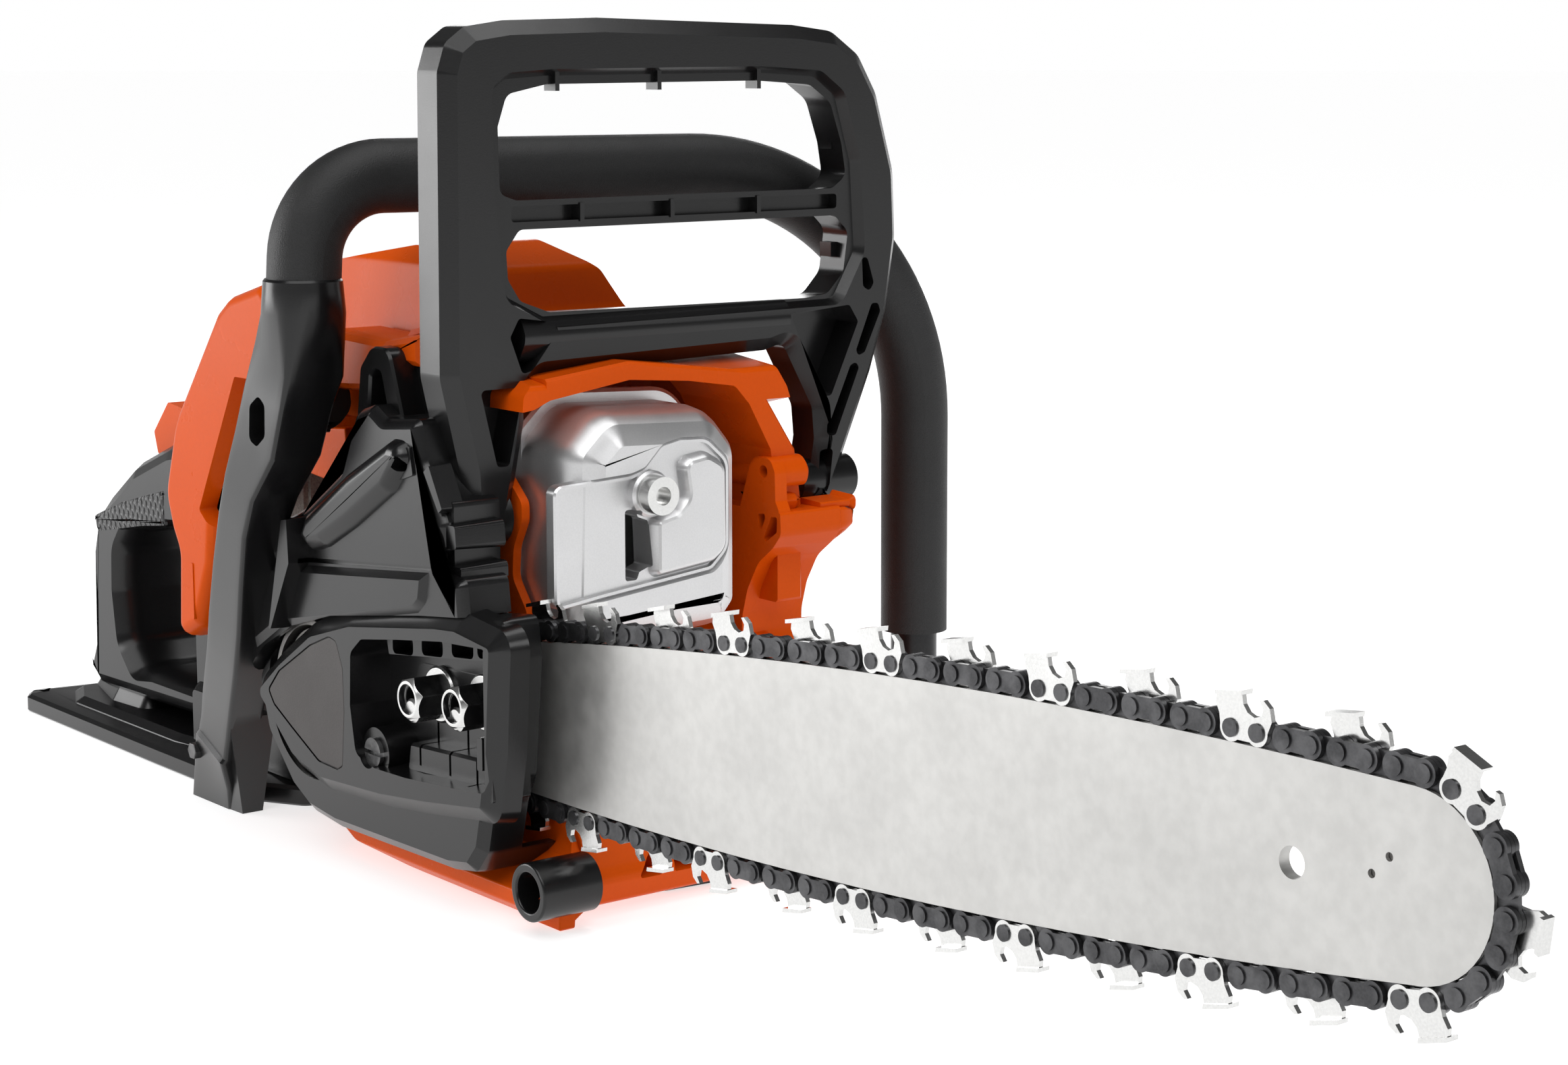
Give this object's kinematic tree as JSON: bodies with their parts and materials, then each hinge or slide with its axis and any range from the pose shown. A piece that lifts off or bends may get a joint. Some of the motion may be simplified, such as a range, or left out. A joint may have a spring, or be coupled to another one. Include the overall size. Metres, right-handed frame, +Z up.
{
  "type": "chainsaw",
  "caption": "Petrol chainsaw with orange and black casings, tubular front handle, windowed hand guard, sprocket-nose guide bar and toothed saw chain.",
  "frame": {"origin": "centre of the bottom of the saw's box, on the ground it stands on", "axes": "+X forward to the bar's nose, +Y to the saw's left, +Z up"},
  "size_m": [0.7718, 0.2545, 0.285],
  "materials": {
    "orange_plastic": "glossy orange moulding",
    "black_plastic": "semi-gloss black moulding",
    "panel_plastic": "satin dark grey inlay",
    "rubber": "matt black rubber",
    "grip_rubber": "fine-grained matt black rubber",
    "bar_steel": "pale mottled ground steel",
    "cutter_steel": "bright plated steel",
    "dark_chain_steel": "blued dark steel",
    "bright_steel": "bright zinc-plated steel",
    "forged_steel": "dark machined steel",
    "black_steel": "black coated steel",
    "muffler_steel": "satin silver pressed steel",
    "cast_aluminium": "cast aluminium",
    "machined_aluminium": "machined aluminium",
    "filter_mesh": "pale fleece filter",
    "rope": "braided cord"
  },
  "bodies": {
    "powerhead": {"engine_housing": "orange_plastic", "starter_cover": "orange_plastic", "top_cover": "orange_plastic", "rear_cover": "orange_plastic", "cylinder": "cast_aluminium", "crank_bearings": "bright_steel", "oil_pump": "cast_aluminium", "spark_plug": "bright_steel", "plug_cap": "rubber", "muffler_back_shell": "muffler_steel", "muffler_front_shell": "muffler_steel", "muffler_bolts": "bright_steel", "intake_boot": "rubber", "carburettor": "cast_aluminium", "air_filter": "filter_mesh", "rear_handle": "black_plastic", "handle_strut": "black_plastic", "front_handle": "black_steel", "front_grip": "grip_rubber", "av_springs": "black_steel", "av_buffers": "rubber", "clutch_cover": "black_plastic", "cover_panel": "panel_plastic", "brake_housing": "black_plastic", "brake_band": "bright_steel", "bar_studs": "bright_steel", "bar_nuts": "bright_steel", "chain_catcher": "black_plastic", "guard_pins": "bright_steel", "recoil_spring": "forged_steel", "starter_screws": "bright_steel", "rubber_foot": "rubber"},
    "crank": {"crankshaft": "forged_steel", "flywheel": "cast_aluminium", "clutch_hub": "forged_steel", "clutch_shoes": "forged_steel"},
    "drum": {"clutch_drum": "forged_steel"},
    "piston_unit": {"piston": "machined_aluminium", "connecting_rod": "forged_steel"},
    "guard": {"hand_guard": "black_plastic"},
    "trigger": {"throttle_trigger": "black_plastic"},
    "valve": {"throttle_valve": "bright_steel"},
    "lockout": {"throttle_lockout": "orange_plastic"},
    "choke": {"choke_knob": "black_plastic"},
    "switch": {"stop_switch": "orange_plastic"},
    "bar": {"bar_plates": "bar_steel", "bar_core": "bar_steel", "tension_pin": "bright_steel", "chain_drive_links": "dark_chain_steel", "chain_cutters": "cutter_steel", "chain_tie_straps": "dark_chain_steel", "chain_rivets": "dark_chain_steel"},
    "nose": {"nose_sprocket": "forged_steel"},
    "adjuster": {"tension_adjuster": "black_steel"},
    "screw": {"tension_screw": "bright_steel"},
    "reel": {"starter_reel": "black_plastic", "starter_rope": "rope"},
    "pull_grip": {"starter_grip": "black_plastic"},
    "oil_cap_body": {"oil_cap": "black_plastic"},
    "fuel_cap_body": {"fuel_cap": "black_plastic"}
  },
  "joints": [
    {"name": "crank_spin", "type": "hinge", "parent": "powerhead", "child": "crank", "pos_m": [-0.10569, -0.03177, 0.057], "axis": [0, 1, 0], "continuous": true},
    {"name": "drum_spin", "type": "hinge", "parent": "powerhead", "child": "drum", "pos_m": [-0.10569, -0.09377, 0.057], "axis": [0, 1, 0], "continuous": true, "deforming": ["chain_drive_links", "chain_cutters", "chain_tie_straps", "chain_rivets"]},
    {"name": "piston_slide", "type": "slide", "parent": "powerhead", "child": "piston_unit", "axis": [0, 0, -1], "range_m": [0, 0.028], "deforming": ["connecting_rod"]},
    {"name": "guard_tilt", "type": "hinge", "parent": "powerhead", "child": "guard", "pos_m": [-0.02889, -0.02177, 0.126], "axis": [0, 1, 0], "range_deg": [0, 18]},
    {"name": "trigger_pull", "type": "hinge", "parent": "powerhead", "child": "trigger", "pos_m": [-0.26589, -0.04977, 0.1], "axis": [0, 1, 0], "range_deg": [0, 16], "stiffness_Nm_per_rad": 0.2},
    {"name": "valve_turn", "type": "hinge", "parent": "powerhead", "child": "valve", "pos_m": [-0.17369, -0.03177, 0.115], "axis": [0, 1, 0], "range_deg": [0, 75]},
    {"name": "lockout_press", "type": "hinge", "parent": "powerhead", "child": "lockout", "pos_m": [-0.28989, -0.04977, 0.124], "axis": [0, -1, 0], "range_deg": [0, 8], "stiffness_Nm_per_rad": 0.2},
    {"name": "choke_pull", "type": "slide", "parent": "powerhead", "child": "choke", "axis": [-1, 0, 0], "range_m": [0, 0.012]},
    {"name": "switch_rock", "type": "hinge", "parent": "powerhead", "child": "switch", "pos_m": [-0.27289, -0.02777, 0.115], "axis": [0, 1, 0], "range_deg": [0, 12]},
    {"name": "bar_slide", "type": "slide", "parent": "powerhead", "child": "bar", "axis": [0.9974, 0, 0.0718], "range_m": [-0.004, 0.008], "deforming": ["chain_drive_links", "chain_cutters", "chain_tie_straps", "chain_rivets"]},
    {"name": "adjuster_turn", "type": "hinge", "parent": "powerhead", "child": "adjuster", "pos_m": [-0.06249, -0.09977, 0.0456], "axis": [0, -1, 0], "range_deg": [-1800, 3600]},
    {"name": "screw_turn", "type": "hinge", "parent": "powerhead", "child": "screw", "pos_m": [-0.04789, -0.08837, 0.0422], "axis": [1, 0, 0], "range_deg": [-1800, 3600]},
    {"name": "nose_spin", "type": "hinge", "parent": "bar", "child": "nose", "pos_m": [0.35023, -0.08177, 0.08983], "axis": [0, 1, 0], "continuous": true, "deforming": ["chain_drive_links", "chain_cutters", "chain_tie_straps", "chain_rivets"]},
    {"name": "grip_pull", "type": "slide", "parent": "powerhead", "child": "pull_grip", "axis": [0, 0, 1], "range_m": [0, 0.8]},
    {"name": "reel_turn", "type": "hinge", "parent": "powerhead", "child": "reel", "pos_m": [-0.10569, 0.03423, 0.057], "axis": [0, 1, 0], "range_deg": [0, 2400]},
    {"name": "oil_cap_turn", "type": "hinge", "parent": "powerhead", "child": "oil_cap_body", "pos_m": [-0.02789, 0.02823, 0.044], "axis": [0, 1, 0], "range_deg": [0, 540]},
    {"name": "fuel_cap_turn", "type": "hinge", "parent": "powerhead", "child": "fuel_cap_body", "pos_m": [-0.21989, 0.00823, 0.04], "axis": [0, 1, 0], "range_deg": [0, 540]}
  ],
  "couplings": [
    {"joint": "valve_turn", "follows": "trigger_pull", "ratio": 4.5},
    {"joint": "nose_spin", "follows": "drum_spin", "ratio": 0.7},
    {"joint": "adjuster_turn", "follows": "bar_slide", "rad_per_m": 7854},
    {"joint": "screw_turn", "follows": "bar_slide", "rad_per_m": 7854},
    {"joint": "reel_turn", "follows": "grip_pull", "rad_per_m": 50.256}
  ]
}
